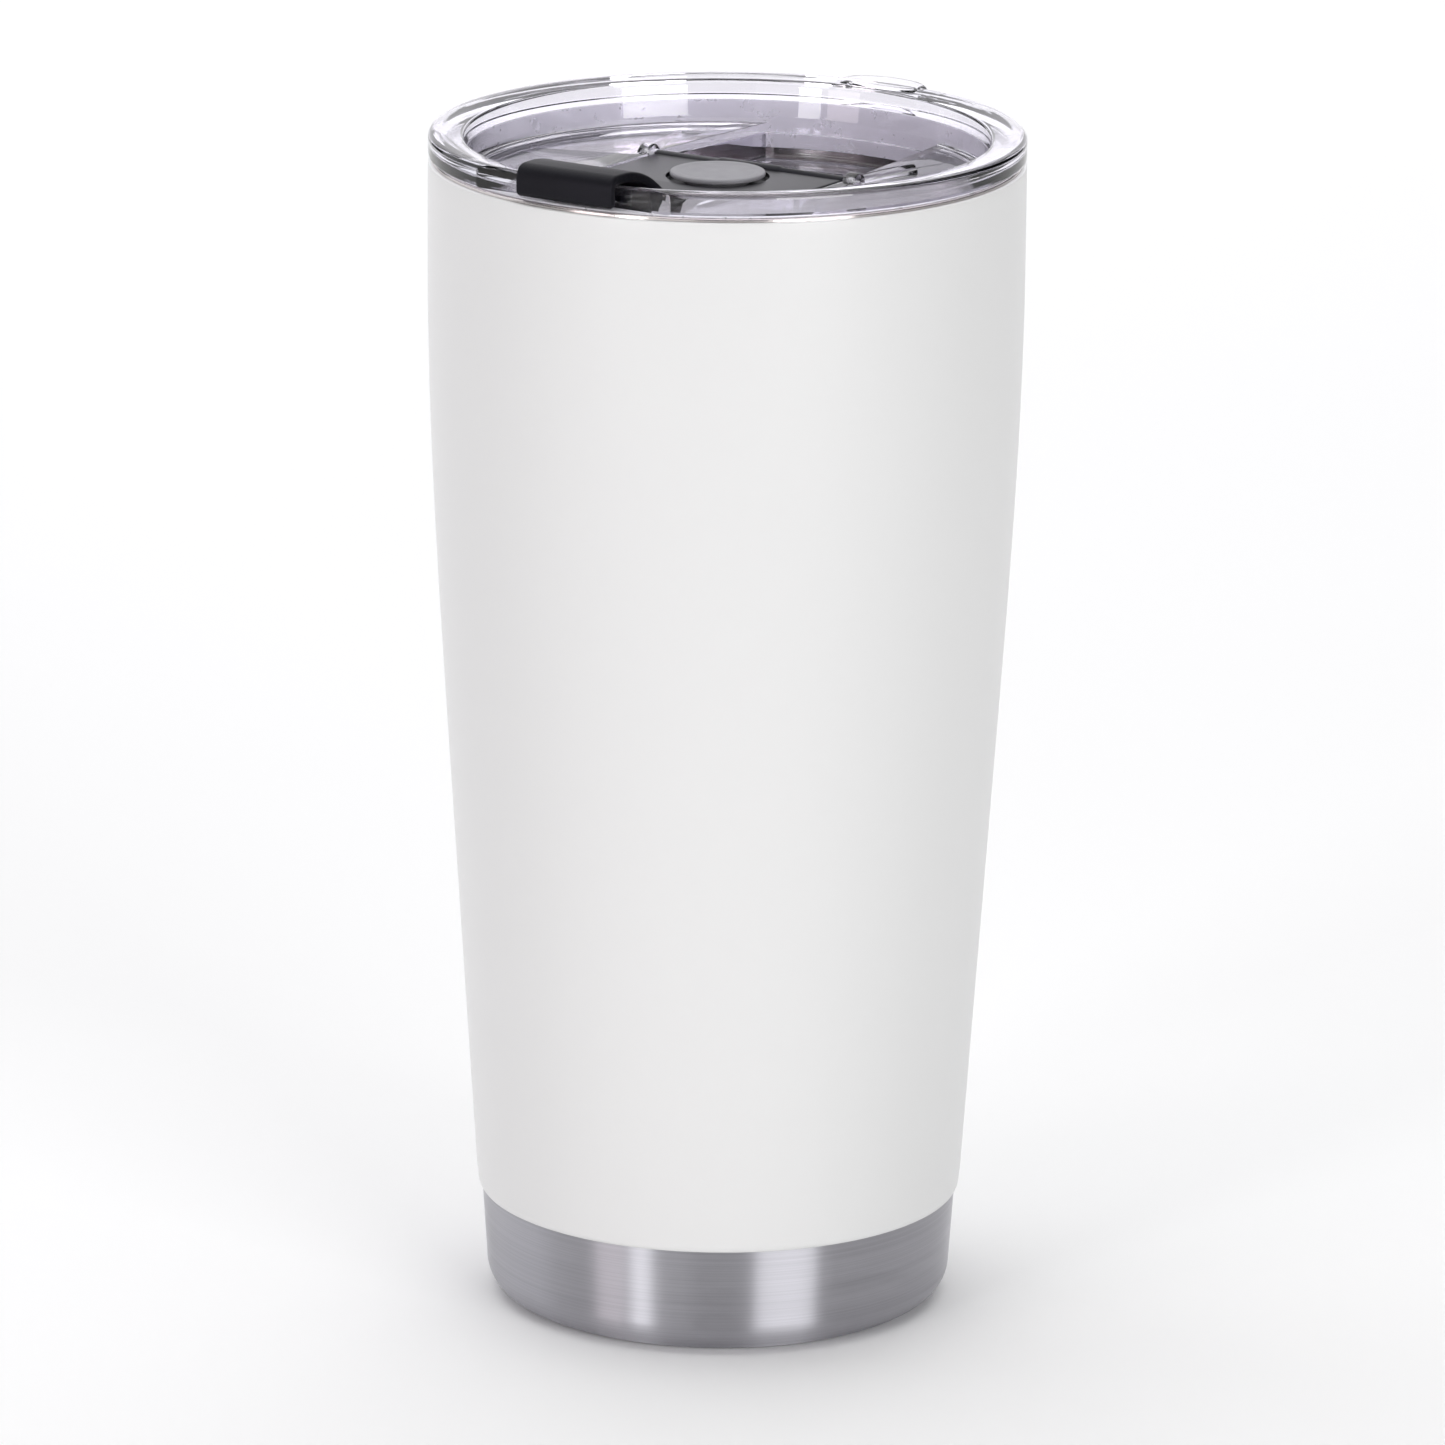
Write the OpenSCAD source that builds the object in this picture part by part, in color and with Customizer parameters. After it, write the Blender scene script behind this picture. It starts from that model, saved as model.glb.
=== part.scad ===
// Insulated tumbler with a clear plug-in lid, a flip-back flap and a pull-out straw stopper.
// Origin: centre of the base ring, +Z up. The flap hinges about an axis along X, its thumb tab points to -Y.

/* [Cup] */
// Outer diameter over the colour coat at the top
top_d = 87.4; // [80:0.1:105]
// Outer diameter over the colour coat at its lower edge
foot_d = 72; // [64:0.1:80]
// Height of the steel cup to its lip
cup_h = 172.9; // [140:0.1:240]
// Height of the bare steel band under the coat
band_h = 16.4; // [12:0.1:24]
// Straight height of the wall below the lip
straight_h = 15; // [8:0.5:25]
// Height over which the wall eases from the taper into the straight
ease_h = 72; // [30:1:90]
// Thickness of the colour coat
coat_t = 0.6; // [0.3:0.05:0.8]
// Height of the rounding at the coat's lower edge
coat_edge_h = 1.4; // [0.6:0.1:2]
// Thickness of the outer steel wall
shell_t = 0.5; // [0.4:0.05:0.8]
// Thickness of the inner steel wall
liner_t = 0.5; // [0.4:0.05:0.8]
// Vacuum gap between the two walls
vacuum_gap = 3; // [2:0.1:4]
// Vacuum gap beside the wider mouth
mouth_gap = 1.5; // [1.2:0.1:1.9]
// Depth of the wider mouth that takes the lid's plug
mouth_h = 13; // [11.5:0.1:20]
// Height of the sloping shoulder under the mouth
shoulder_h = 5; // [3:0.5:10]
// Thickness of the lip flange that closes the two walls
lip_t = 0.5; // [0.4:0.05:1]
// Height of the inside floor above the ground
floor_z = 11; // [10:0.5:20]
// Corner radius of the inside floor
floor_corner_r = 9; // [4:0.5:12]

/* [Base] */
// Height of the welded seam between the wall and the base pan
seam_z = 7; // [6.5:0.1:9]
// Outer corner radius of the base pan
base_corner_r = 5; // [3:0.1:5.5]
// Thickness of the base pan
pan_t = 0.6; // [0.5:0.05:1]
// Width of the flat ring that the cup stands on
ring_w = 2.6; // [1.5:0.1:5]
// Depth of the recess under the base
recess_h = 1.6; // [1.2:0.1:2.4]
// Thickness of the cap disc in the recess
cap_t = 0.6; // [0.4:0.05:0.8]
// Radial gap around the cap disc
cap_gap = 0.2; // [0.1:0.05:0.5]
// Diameter of the vacuum port
port_d = 2.4; // [1.5:0.1:4]
// Diameter of the getter pellet
getter_d = 10; // [6:0.5:12]
// Thickness of the getter pellet
getter_t = 2.4; // [1.5:0.1:3]
// Distance of the getter from the axis
getter_x = 14; // [10:0.5:16]
// Thickness of the copper foil on the inner wall
foil_t = 0.15; // [0.1:0.05:0.3]

/* [Lid] */
// Height of the lid's rim above the gasket
rim_h = 3.4; // [3:0.1:5]
// Fall of the rim's top towards the well
rim_fall = 0.65; // [0.3:0.05:1]
// Width of the crest between the rim's outer edge and its highest line
crest_w = 1.3; // [1.2:0.1:2]
// Thickness of the lid's plug wall
plug_t = 1.6; // [1.4:0.1:2]
// Radial room for the gasket between the plug and the mouth
gasket_room = 1.2; // [1:0.05:1.6]
// Depth of the raised side floors below the rim's top
well_depth = 6.3; // [6:0.1:7]
// Depth of the pocket floor below the side floors
pocket_depth = 5.3; // [5:0.1:6]
// Thickness of the lid's floors
lid_floor_t = 1.6; // [1.2:0.1:1.8]
// Thickness of the pocket's side walls
pocket_wall_t = 1.4; // [1:0.1:1.6]
// Depth of the flat cut across the rim's front
flat_depth = 3.3; // [2.8:0.1:3.8]
// Width of the lift tab at the back of the rim
lift_w = 14.4; // [10:0.2:20]
// Reach of the lift tab beyond the rim
lift_reach = 3; // [1.5:0.1:4]
// Thickness of the gasket's flange under the rim
gasket_flange_t = 0.35; // [0.25:0.05:0.5]
// Gap between the gasket's soft faces and the steel
gasket_gap = 0.25; // [0.2:0.05:0.4]

/* [Flap] */
// Thickness of the flap's plate
plate_t = 2; // [1.8:0.1:2.2]
// Half width of the plate
plate_half_w = 16.4; // [13.7:0.1:17]
// Half width of the thumb tab and of the neck that carries it
tab_half_w = 8.2; // [7:0.1:9]
// Distance of the hinge axis behind the lid's centre
hinge_y = 6.2; // [6:0.1:7]
// Height of the hinge axis above the plate's underside
hinge_rise = 1.2; // [1.1:0.05:1.3]
// Diameter of the hinge pin
pin_d = 1.6; // [1.4:0.1:1.7]
// Radial running clearance between the pin and the flap
pin_clear = 0.05; // [0.03:0.01:0.08]
// Gap between the flap's edges and the pocket
flap_gap = 0.5; // [0.4:0.05:0.7]
// Gap between the flat on the rim and the thumb tab
tab_gap = 1.1; // [1:0.05:1.4]
// Height of the tab's crown above the rim
crown_h = 1.5; // [1.3:0.1:2.5]
// Thickness of the neck and the thumb tab
neck_t = 1.5; // [1.3:0.1:1.7]
// Length that the thumb tab hangs below the crown
tab_drop = 4.7; // [4:0.1:4.8]

/* [Stopper] */
// Diameter of the stopper's head
stopper_d = 14; // [12:0.1:16.8]
// Height of the stopper's head
stopper_head_h = 1.7; // [1.2:0.1:2.2]
// Width of the finger recess around the stopper's head
finger_gap = 0.6; // [0.5:0.1:2]
// Depth of the finger recess in the plate
finger_depth = 0.9; // [0.6:0.1:1.1]
// Diameter of the stopper's stem
stem_d = 8.2; // [7:0.1:8.2]
// Gap under the stopper's head
head_gap = 0.04; // [0.02:0.01:0.1]
// Radial gap between the stem and the flap
stem_gap = 0.15; // [0.1:0.05:0.3]
// Radial gap between the stem and the straw hole in the lid
straw_gap = 0.4; // [0.35:0.05:0.8]

/* [Sip opening] */
// Length of the sip opening across the lid
sip_w = 12; // [8:0.2:13]
// Width of the sip opening from front to back
sip_l = 4.6; // [4:0.1:5]
// Distance of the sip opening's middle from the well's front wall
sip_inset = 6.8; // [6.4:0.1:7.6]
// Gap between the sip seal's plug and the opening
sip_gap = 0.3; // [0.2:0.05:0.4]

/* [Hidden] */
$fn = 96;
eps = 0.01;
top_r = top_d/2;
foot_r = foot_d/2;
coat_top_z = cup_h - lip_t;
ease_top_z = coat_top_z - straight_h;
ease_low_z = ease_top_z - ease_h;
taper = (top_r - foot_r)/(ease_low_z - band_h + ease_h*2/3);
ease_steps = 12;
arc_steps = 8;

// Radius over the coat at height z: a cone that eases smoothly into the straight top
function coat_r(z) =
    z < ease_low_z ? foot_r + taper*(z - band_h) :
    z < ease_top_z ? coat_r(band_h) + taper*(ease_low_z - band_h)
        + taper*((z - ease_low_z) - pow(z - ease_low_z, 3)/(3*ease_h*ease_h)) :
    top_r;
function steel_r(z) = coat_r(z) - coat_t;
// Heights at which the wall's outline has a point, from one height up to another
function stations(low, high) = concat(
    [low],
    [for (i = [0:ease_steps]) let (z = ease_low_z + ease_h*i/ease_steps) if (z > low && z < high) z],
    [high]);
// Wall outline that lies a distance inside the coat's surface
function wall(inset, low, high) = [for (z = stations(low, high)) [coat_r(z) - inset, z]];
function reversed(points) = [for (i = [len(points) - 1:-1:0]) points[i]];
// Points of an arc about a centre, from one angle to another
function arc(cx, cy, r, from, to, steps = arc_steps) =
    [for (i = [0:steps]) let (a = from + (to - from)*i/steps) [cx + r*cos(a), cy + r*sin(a)]];
function mirrored(points) = [for (p = points) [-p[0], p[1]]];

// Inner wall
liner_inset = coat_t + shell_t + vacuum_gap;
mouth_r = top_r - coat_t - shell_t - mouth_gap - liner_t;
mouth_z = cup_h - mouth_h;
shoulder_z = mouth_z - shoulder_h;
floor_bend_z = floor_z + floor_corner_r;

// Base pan
recess_r = steel_r(base_corner_r) - base_corner_r - ring_w;
cap_r = recess_r - cap_gap - pan_t;
port_r = port_d/2;
pan_floor_z = recess_h + pan_t;
tray_t = 0.3;

// Lid
seat_z = cup_h + 0.05 + gasket_flange_t;
rim_z = seat_z + rim_h;
plug_r = mouth_r - gasket_room;
well_r = plug_r - plug_t;
side_floor_z = rim_z - well_depth;
pocket_z = side_floor_z - pocket_depth;
plug_skirt_h = 0.9;
plug_z = pocket_z - lid_floor_t - plug_skirt_h;
pocket_half_w = plate_half_w + flap_gap;
pocket_rear_step = 2.3;
pocket_rear_half_w = pocket_half_w - pocket_rear_step;
neck_half_w = tab_half_w + flap_gap;
plate_top_z = side_floor_z;
plate_z = plate_top_z - plate_t;
hinge_z = plate_z + hinge_rise;
barrel_r = 1.2;
knuckle_r = 1.4;
knuckle_half_w = 6;
boss_r = 2;
boss_w = 2;
pin_half_l = pocket_half_w + boss_w - 0.2;
taper_rear_y = -9;
flat_y = top_r - flat_depth;
tab_y = flat_y + tab_gap + neck_t;
crown_z = rim_z + crown_h;
crown_back = 3.6;
crown_y = -(tab_y - crown_back);
neck_angle = 36;
crown_r = 15;
valley_r = 5;
hook_r = 2;
// Where the crown's arc turns into the slope, the slope into the valley, and the valley into the plate
slope_y = crown_y + crown_r*sin(neck_angle);
slope_z = crown_z - crown_r*(1 - cos(neck_angle));
valley_z = plate_top_z + valley_r*(1 - cos(neck_angle));
valley_y = slope_y + (slope_z - valley_z)/tan(neck_angle);
plate_front_y = valley_y + valley_r*sin(neck_angle);
finger_d = stopper_d + 2*finger_gap;
stopper_y = finger_d/2 - (hinge_y - barrel_r);
straw_d = stem_d + 2*straw_gap;
sip_y = well_r - sip_inset;
seal_top_z = pocket_z + 1.6;
groove_depth = 0.6;
groove_z = side_floor_z - 2;
groove_h = 2.2;
gasket_low_z = side_floor_z - 3.6;
fin_r = mouth_r - gasket_gap;

// Outer steel wall, from the base seam to the lip
module outer_shell() {
    color("silver") rotate_extrude($fn = 180)
        polygon(concat(
            wall(coat_t, seam_z, coat_top_z),
            reversed(wall(coat_t + shell_t, seam_z, coat_top_z))));
}

// Colour coat over the outer wall, with a rounded lower edge
module colour_coat() {
    low = band_h + coat_edge_h;
    lower_edge = [for (i = [0:arc_steps]) let (a = 90*i/arc_steps)
        [steel_r(band_h) + coat_t*sin(a), band_h + coat_edge_h*(1 - cos(a))]];
    color("white") rotate_extrude($fn = 180)
        polygon(concat(
            lower_edge,
            [for (p = wall(0, low, coat_top_z)) if (p[1] > low) p],
            reversed(wall(coat_t, band_h, coat_top_z))));
}

// Outline of the inner wall's inside face, or of its outside face when grown by the wall
function liner_face(grow) = let (
    bend_r = floor_corner_r + grow,
    wall_inset = liner_inset + liner_t - grow,
    low_r = coat_r(floor_bend_z) - wall_inset)
    concat(
        [[0, floor_z - grow]],
        arc(low_r - bend_r, floor_bend_z, bend_r, -90, 0),
        [for (p = wall(wall_inset, floor_bend_z, shoulder_z)) if (p[1] > floor_bend_z) p],
        [[mouth_r + grow, mouth_z]]);

// Inner steel wall with its floor, wider mouth and lip flange
module inner_liner() {
    lip_round = lip_t/2;
    flange_r = top_r - coat_t;
    color("gainsboro") rotate_extrude($fn = 180)
        polygon(concat(
            liner_face(0),
            [[mouth_r, cup_h - lip_round]],
            [for (i = [1:4]) let (a = 90*i/4)
                [mouth_r + lip_round*(1 - cos(a)), cup_h - lip_round*(1 - sin(a))]],
            arc(flange_r - lip_round, cup_h - lip_round, lip_round, 90, 0, 4),
            [[flange_r, coat_top_z], [mouth_r + liner_t, coat_top_z]],
            reversed(liner_face(liner_t))));
}

// Copper foil wrapped on the inner wall inside the vacuum
module copper_foil() {
    low = floor_bend_z + 2;
    high = shoulder_z - 2;
    color("peru") rotate_extrude($fn = 180)
        polygon(concat(
            wall(liner_inset - foil_t, low, high),
            reversed(wall(liner_inset, low, high))));
}

// Base pan that closes the outer wall, with a rounded corner, a recess and the vacuum port
module base_pan() {
    r = base_corner_r;
    corner_x = steel_r(r) - r;
    color("silver") rotate_extrude($fn = 180)
        polygon(concat(
            [[port_r, recess_h], [recess_r - pan_t, recess_h], [recess_r, 0]],
            arc(corner_x, r, r, -90, 0, 12),
            [[steel_r(seam_z), seam_z], [steel_r(seam_z) - pan_t, seam_z]],
            reversed(arc(corner_x, r, r - pan_t, -90, 0, 12)),
            [[recess_r + pan_t*0.4, pan_t], [recess_r - pan_t*0.6, pan_floor_z], [port_r, pan_floor_z]]));
}

// Cap disc glued into the recess, with a pressed ring
module base_cap() {
    ring_r = cap_r*0.62;
    low = recess_h - cap_t;
    press = 0.25;
    color("darkgray") rotate_extrude($fn = 180)
        polygon([[0, low], [ring_r - 1, low], [ring_r - 0.6, low + press], [ring_r + 0.6, low + press],
            [ring_r + 1, low], [cap_r - 0.3, low], [cap_r, low + 0.3], [cap_r, recess_h], [0, recess_h]]);
}

// Bead of solder that closes the vacuum port
module port_seal() {
    dome_r = port_r*1.7;
    color("dimgray") rotate_extrude($fn = 48)
        polygon(concat(
            [[0, recess_h], [port_r, recess_h], [port_r, pan_floor_z], [dome_r, pan_floor_z]],
            [for (i = [1:6]) let (a = 90*i/6) [dome_r*cos(a), pan_floor_z + 0.9*sin(a)]]));
}

// Getter pellet that keeps the vacuum
module getter() {
    color("gray") translate([getter_x, 0, pan_floor_z + tray_t]) cylinder(d = getter_d, h = getter_t, $fn = 64);
}

// Spot-welded tray that holds the getter on the base pan
module getter_tray() {
    color("lightgray") translate([getter_x, 0, pan_floor_z]) difference() {
        cylinder(d = getter_d + 2*tray_t, h = getter_t*0.6, $fn = 64);
        translate([0, 0, tray_t]) cylinder(d = getter_d, h = getter_t, $fn = 64);
    }
}

// Plan outline of the pocket, grown outwards by a wall: rear part first, then the front part
function pocket_outline(grow) = let (
    right = [
        [neck_half_w + grow, -top_r],
        [neck_half_w + grow, plate_front_y - flap_gap],
        [pocket_half_w + grow, taper_rear_y],
        [pocket_half_w + grow, hinge_y + barrel_r + flap_gap],
        [pocket_rear_half_w + grow, well_r]])
    concat(right, reversed(mirrored(right)));

// Clear lid: rim, well, raised side floors, pocket, plug wall, hinge bosses and lift tab
module lid_body() {
    inner_r = well_r + 0.5;
    crest_r = top_r - crest_w;
    edge = 0.25;
    color("aliceblue", 0.5) difference() {
        union() {
            rotate_extrude($fn = 180)
                polygon(concat(
                    [[0, side_floor_z - lid_floor_t], [well_r, side_floor_z - lid_floor_t]],
                    [[well_r, plug_z], [plug_r - 0.6, plug_z], [plug_r, plug_z + 1.2]],
                    [[plug_r, groove_z - groove_h], [plug_r - groove_depth, groove_z - groove_h]],
                    [[plug_r - groove_depth, groove_z], [plug_r, groove_z]],
                    [[plug_r, seat_z], [top_r - edge, seat_z], [top_r, seat_z + edge]],
                    arc(top_r - crest_w, rim_z - crest_w, crest_w, 0, 90),
                    [[inner_r + 0.4, rim_z - rim_fall], [inner_r, rim_z - rim_fall - 0.4]],
                    [[well_r, side_floor_z + 0.8], [well_r - 0.8, side_floor_z], [0, side_floor_z]]));
            intersection() {
                translate([0, 0, pocket_z - lid_floor_t])
                    linear_extrude(side_floor_z - pocket_z + lid_floor_t - eps)
                        polygon(pocket_outline(pocket_wall_t));
                cylinder(r = well_r + plug_t/2, h = rim_z, $fn = 180);
            }
            for (side = [-1, 1]) hinge_boss(side);
            lift_tab();
        }
        intersection() {
            translate([0, 0, pocket_z]) linear_extrude(rim_z) polygon(pocket_outline(0));
            cylinder(r = well_r, h = rim_z + crown_h, $fn = 180);
        }
        translate([-top_r, -top_r - 1, seat_z - eps]) cube([top_d, top_r + 1 - flat_y, rim_h + 1]);
        translate([0, hinge_y, hinge_z]) rotate([0, 90, 0])
            cylinder(d = pin_d, h = 2*pin_half_l, center = true, $fn = 48);
        translate([0, -stopper_y, plug_z]) cylinder(d = straw_d, h = pocket_depth + 3, $fn = 64);
        translate([0, -sip_y, plug_z]) slot(sip_w, sip_l, pocket_depth + 3);
    }
}

// Rounded boss that holds one end of the hinge pin
module hinge_boss(side) {
    translate([side*(pocket_half_w + boss_w/2), hinge_y, hinge_z]) rotate([0, 90, 0])
        cylinder(r = boss_r, h = boss_w, center = true, $fn = 64);
}

// Ledge at the back of the rim for lifting the lid off
module lift_tab() {
    low = rim_z - 2.2;
    base_y = top_r - 1;
    translate([0, 0, low]) linear_extrude(rim_z + 0.2 - low)
        polygon(concat(
            [[lift_w/2, top_r - 3.5]],
            [for (i = [0:24]) let (a = 180*i/24) [lift_w/2*cos(a), base_y + (lift_reach + 1)*sin(a)]],
            [[-lift_w/2, top_r - 3.5]]));
}

// Slot with round ends, along X
module slot(length, width, height) {
    straight = length - width;
    for (side = [-1, 1]) translate([side*straight/2, 0, 0]) cylinder(d = width, h = height, $fn = 48);
    translate([-straight/2, -width/2, 0]) cube([straight, width, height]);
}

// Soft gasket around the plug: flange under the rim, locking bead and two fins
module lid_gasket() {
    band_r = plug_r + 0.45;
    fin_t = 0.7;
    low = gasket_low_z;
    bead_r = plug_r - groove_depth;
    upper_fin_z = seat_z - 2.2;
    lower_fin_z = low + 0.5;
    flange_z = seat_z - gasket_flange_t;
    color("#dcdce2") rotate_extrude($fn = 180)
        polygon([
            [plug_r, groove_z - groove_h], [plug_r, low], [band_r, low],
            [band_r, lower_fin_z], [fin_r, lower_fin_z + 0.5], [fin_r, lower_fin_z + 0.5 + fin_t/2],
            [band_r, lower_fin_z + fin_t + 0.3],
            [band_r, upper_fin_z - fin_t], [fin_r, upper_fin_z - 0.2], [fin_r, upper_fin_z + fin_t/2 - 0.2],
            [band_r, upper_fin_z + 0.3],
            [band_r, flange_z], [top_r - coat_t - 0.3, flange_z], [top_r - coat_t - 0.3, seat_z],
            [plug_r, seat_z], [plug_r, groove_z], [bead_r, groove_z], [bead_r, groove_z - groove_h]]);
}

// Steel pin pressed into the lid's bosses
module hinge_pin() {
    color("silver") translate([0, hinge_y, hinge_z]) rotate([0, 90, 0])
        cylinder(d = pin_d, h = 2*pin_half_l, center = true, $fn = 48);
}

// Side outline of the neck and the thumb tab: upper face forwards, hook, lower face back
function neck_outline() = let (
    valley_mid_z = plate_top_z + valley_r,
    crown_mid_z = crown_z - crown_r,
    hook_y = -tab_y + hook_r,
    tip_z = crown_z - tab_drop,
    tip_r = neck_t/2)
    concat(
        reversed(arc(plate_front_y, valley_mid_z, valley_r, -90 - neck_angle, -90, 5)),
        arc(crown_y, crown_mid_z, crown_r, 90 - neck_angle, 90, 8),
        arc(hook_y, crown_z - hook_r, hook_r, 90, 180, 6),
        arc(-tab_y + tip_r, tip_z + tip_r, tip_r, 180, 360, 6),
        reversed(arc(hook_y, crown_z - hook_r, hook_r - neck_t, 90, 180, 6)),
        reversed(arc(crown_y, crown_mid_z, crown_r - neck_t, 90 - neck_angle, 90, 8)),
        arc(plate_front_y, valley_mid_z, valley_r + plate_t, -90 - neck_angle, -90, 5),
        [[plate_front_y + 2, plate_z], [plate_front_y + 2, plate_top_z]]);

// Plan outline of the plate, from the hinge to the neck
function plate_outline() = let (
    right = [[plate_half_w, hinge_y], [plate_half_w, taper_rear_y], [tab_half_w, plate_front_y]])
    concat(right, reversed(mirrored(right)));

// Flap: plate with its hinge barrel, stopper seat, arched neck, thumb tab and seal carrier
module flap() {
    carrier_w = sip_w - 2;
    carrier_l = sip_l - 0.4;
    color("#26262a") difference() {
        union() {
            difference() {
                union() {
                    translate([0, 0, plate_z]) linear_extrude(plate_t) polygon(plate_outline());
                    translate([0, hinge_y, hinge_z]) rotate([0, 90, 0])
                        cylinder(r = barrel_r, h = 2*plate_half_w, center = true, $fn = 64);
                }
                // Finger recess around the stopper's head
                translate([0, -stopper_y, plate_top_z - finger_depth])
                    cylinder(d = finger_d, h = plate_t + knuckle_r, $fn = 96);
            }
            translate([0, hinge_y, hinge_z]) rotate([0, 90, 0])
                cylinder(r = knuckle_r, h = 2*knuckle_half_w, center = true, $fn = 64);
            rotate([90, 0, 90]) translate([0, 0, -tab_half_w])
                linear_extrude(2*tab_half_w) polygon(neck_outline());
            intersection() {
                translate([-carrier_w/2, -sip_y - carrier_l/2, seal_top_z])
                    cube([carrier_w, carrier_l, crown_z - seal_top_z]);
                rotate([90, 0, 90]) translate([0, 0, -tab_half_w]) linear_extrude(2*tab_half_w)
                    polygon(carrier_outline());
            }
        }
        translate([0, hinge_y, hinge_z]) rotate([0, 90, 0])
            cylinder(r = pin_d/2 + pin_clear, h = 3*plate_half_w, center = true, $fn = 48);
        translate([0, -stopper_y, plate_z - 1]) cylinder(r = stem_d/2 + stem_gap, h = plate_t + 2, $fn = 64);
    }
}

// Side outline that keeps the seal carrier under the neck's upper face
function carrier_outline() = [[-tab_y, seal_top_z], [crown_y, crown_z - neck_t/2],
    [slope_y, slope_z - neck_t/2], [valley_y, valley_z - neck_t/2], [valley_y, seal_top_z]];

// Soft stopper: round head on a tapered stem that closes the straw hole
module straw_stopper() {
    head_r = stopper_d/2;
    head_z = plate_top_z - finger_depth + head_gap;
    head_top = head_z + stopper_head_h;
    round_r = 0.6;
    cone_z = pocket_z + 1.4;
    tip_z = pocket_z - lid_floor_t + 0.3;
    color("#a9a9ad") translate([0, -stopper_y, 0]) rotate_extrude($fn = 96)
        polygon(concat(
            [[0, tip_z], [stem_d/2 - 0.8, tip_z], [stem_d/2 - 0.4, tip_z + 0.4], [stem_d/2, cone_z]],
            [[stem_d/2, head_z], [head_r - 0.3, head_z], [head_r, head_z + 0.3]],
            arc(head_r - round_r, head_top - round_r, round_r, 0, 90, 6),
            [[0, head_top]]));
}

// Soft seal under the neck that closes the sip opening
module sip_seal() {
    lip = 0.8;
    seat = pocket_z + 0.1;
    color("#8f8f94") translate([0, -sip_y, 0]) union() {
        translate([0, 0, seat]) slot(sip_w + 2*lip, sip_l + 2*lip, seal_top_z - seat);
        translate([0, 0, seat - 0.9]) slot(sip_w - 2*sip_gap, sip_l - 2*sip_gap, 1);
    }
}

outer_shell();
colour_coat();
inner_liner();
copper_foil();
base_pan();
base_cap();
port_seal();
getter();
getter_tray();
lid_body();
lid_gasket();
hinge_pin();
flap();
straw_stopper();
sip_seal();
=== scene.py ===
import math

import bmesh
import bpy
from mathutils import Matrix, Vector


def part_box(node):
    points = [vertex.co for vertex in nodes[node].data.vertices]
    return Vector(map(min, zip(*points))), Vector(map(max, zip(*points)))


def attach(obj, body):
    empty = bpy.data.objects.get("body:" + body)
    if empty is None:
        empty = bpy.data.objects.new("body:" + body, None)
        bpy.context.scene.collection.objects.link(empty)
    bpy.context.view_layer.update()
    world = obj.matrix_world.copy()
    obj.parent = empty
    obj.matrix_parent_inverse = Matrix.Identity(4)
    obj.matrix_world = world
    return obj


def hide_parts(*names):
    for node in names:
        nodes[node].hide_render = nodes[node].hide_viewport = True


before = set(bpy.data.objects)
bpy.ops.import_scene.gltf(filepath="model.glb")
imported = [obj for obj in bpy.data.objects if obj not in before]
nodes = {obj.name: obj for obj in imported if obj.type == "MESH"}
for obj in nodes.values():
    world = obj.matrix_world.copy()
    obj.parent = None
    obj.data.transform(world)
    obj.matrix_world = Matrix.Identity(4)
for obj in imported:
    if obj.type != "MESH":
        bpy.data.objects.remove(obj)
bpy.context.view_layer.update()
collection = bpy.context.scene.collection

# Lengths in this script are millimetres in the row frame; meshes are scaled to metres when they are made.
MM = 0.001
EPS = 0.03  # small room that keeps faces from lying in one plane
skin_gap = 0.02  # the same for the coat and the steel, on each side of their joint


def low(node):
    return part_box(node)[0] / MM


def high(node):
    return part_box(node)[1] / MM


# ---------------------------------------------------------------- sizes read from the frame
top_r = high("colour_coat").x
coat_top_z = high("colour_coat").z
band_z = low("colour_coat").z
steel_top_r = high("outer_shell").x
seam_z = low("outer_shell").z
cup_h = high("inner_liner").z
recess_z = high("base_cap").z
cap_r = high("base_cap").x
cap_low_z = low("base_cap").z
gasket_r = high("lid_gasket").x
gasket_low_z = low("lid_gasket").z
seat_z = high("lid_gasket").z
plug_z = low("lid_body").z
lift_y = high("lid_body").y
lift_z = high("lid_body").z
plate_half_w = high("flap").x
crown_z = high("flap").z
tab_y = -low("flap").y
hinge_y = (low("hinge_pin").y + high("hinge_pin").y) / 2
hinge_z = (low("hinge_pin").z + high("hinge_pin").z) / 2
pin_r = (high("hinge_pin").z - low("hinge_pin").z) / 2
pin_half_l = high("hinge_pin").x
stopper_r = high("straw_stopper").x
stopper_y = (low("straw_stopper").y + high("straw_stopper").y) / 2
stopper_top_z = high("straw_stopper").z
stopper_tip_z = low("straw_stopper").z
sip_y = (low("sip_seal").y + high("sip_seal").y) / 2
seal_half_w = high("sip_seal").x
seal_top_z = high("sip_seal").z

# ---------------------------------------------------------------- sizes shared with the CAD source
foot_r = 36.0
coat_t = top_r - steel_top_r
shell_t = 0.5
liner_t = 0.5
floor_z = low("inner_liner").z + liner_t
vacuum_gap = 3.0
straight_h = 15.0
ease_h = 72.0
base_corner_r = 5.0
pan_t = 0.6
ring_w = 2.6
mouth_r = 40.6
fin_r = 40.35
mouth_z = cup_h - 13.0
shoulder_z = mouth_z - 5.0
floor_corner_r = 9.0
rim_z = seat_z + 3.4
plug_r = 39.4
well_r = 37.8
side_floor_z = rim_z - 6.3
pocket_z = side_floor_z - 5.3
lid_floor_t = 1.6
pocket_wall_t = 1.4
pocket_rear_step = 2.3
throat_y = -22.67
groove_depth = 0.6
groove_top_z = side_floor_z - 2.0
groove_low_z = side_floor_z - 4.2
straw_r = 4.5
sip_w = 12.0
sip_l = 4.6
flat_y = -40.4
plate_top_z = side_floor_z
plate_z = plate_top_z - 2.0
plate_front_y = -22.166
taper_rear_y = -9.0
tab_half_w = 8.2
tab_drop = 4.7
neck_t = 1.5
neck_angle = 36
crown_y = -39.4
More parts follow.
